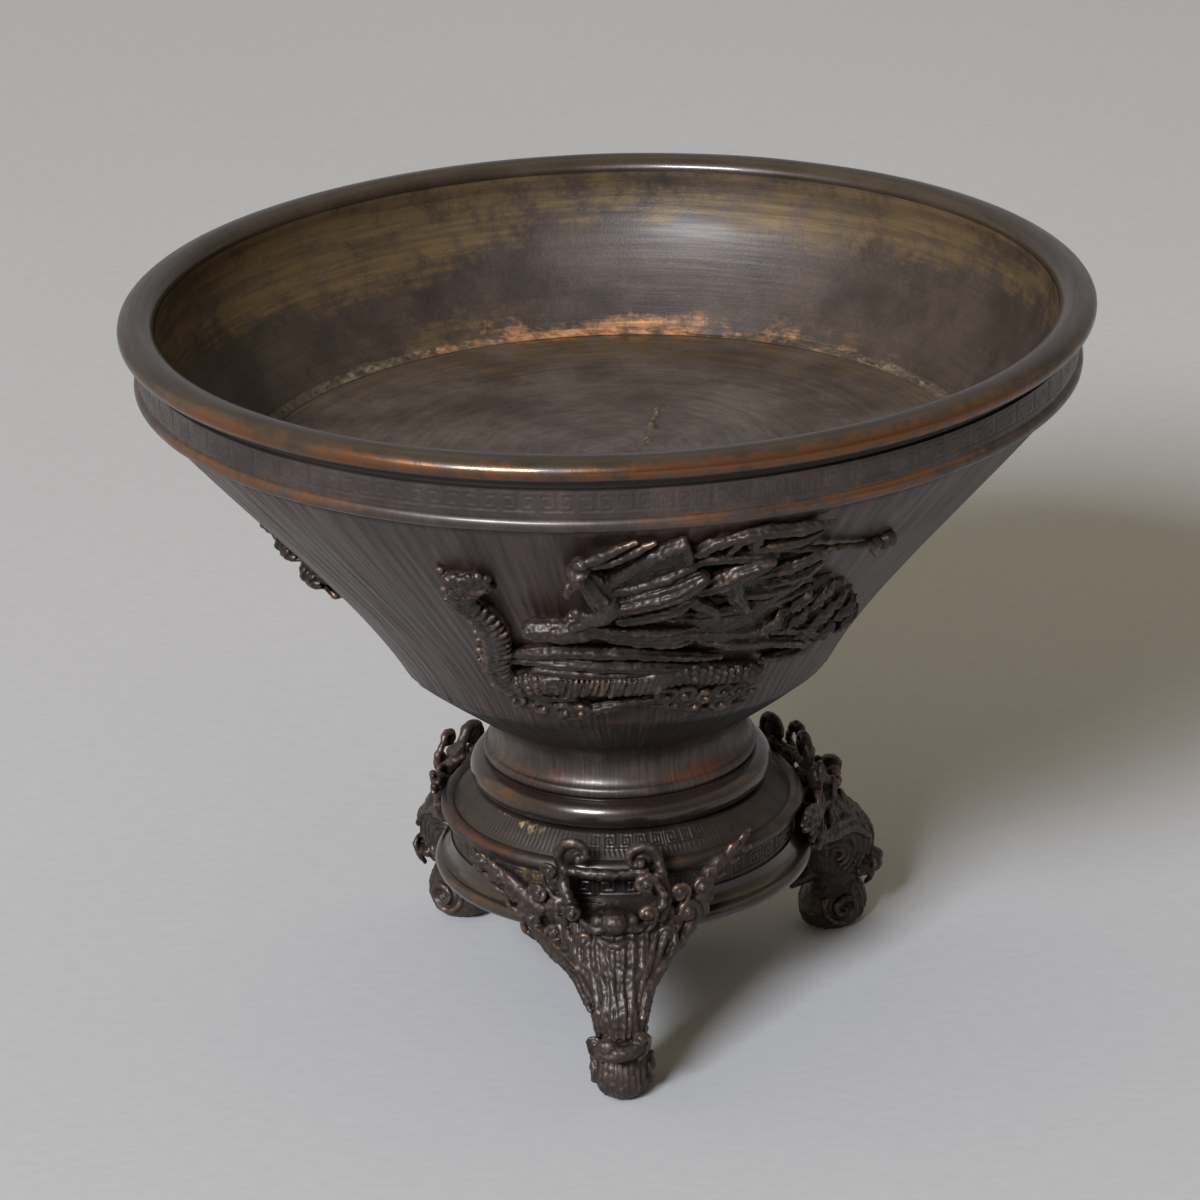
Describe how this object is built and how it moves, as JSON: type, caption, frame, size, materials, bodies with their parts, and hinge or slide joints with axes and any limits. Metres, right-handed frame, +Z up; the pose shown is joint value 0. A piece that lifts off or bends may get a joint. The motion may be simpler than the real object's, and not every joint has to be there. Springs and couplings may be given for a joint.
{
  "type": "footed bowl",
  "caption": "Patinated bronze footed bowl: flaring trumpet basin with applied relief, waisted neck, moulded round base and scroll legs with beast masks.",
  "frame": {"origin": "on the ground, on the bowl's axis", "axes": "+Z up along the bowl's axis, -Y towards the front leg and the front relief"},
  "size_m": [0.2398, 0.2398, 0.1867],
  "materials": {
    "rubbed_bronze": "dark patina rubbed to copper brown on the edges",
    "cast_bronze": "dark brown patina, satin",
    "basin_bronze": "dull brown patina with fine turning marks",
    "solder": "rough grey-brown solder",
    "leg_bronze": "dark brown patina, worn bright on the high points",
    "relief_bronze": "dark brown patina, worn on the high points"
  },
  "bodies": {
    "root": {"lip_ring": "rubbed_bronze", "collar_band": "cast_bronze", "bowl_wall": "cast_bronze", "floor_disc": "basin_bronze", "floor_solder_seam": "solder", "neck_stem": "cast_bronze", "foot_ring": "rubbed_bronze", "platform": "cast_bronze", "fret_drum": "cast_bronze", "skirt_ring": "rubbed_bronze", "leg_front": "leg_bronze", "leg_right": "leg_bronze", "leg_left": "leg_bronze", "relief_beast_front": "relief_bronze", "relief_beast_right": "relief_bronze", "relief_beast_left": "relief_bronze", "relief_rider_front": "relief_bronze", "relief_rider_right": "relief_bronze", "relief_rider_left": "relief_bronze", "relief_waves_front": "relief_bronze", "relief_waves_right": "relief_bronze", "relief_waves_left": "relief_bronze"}
  },
  "joints": []
}
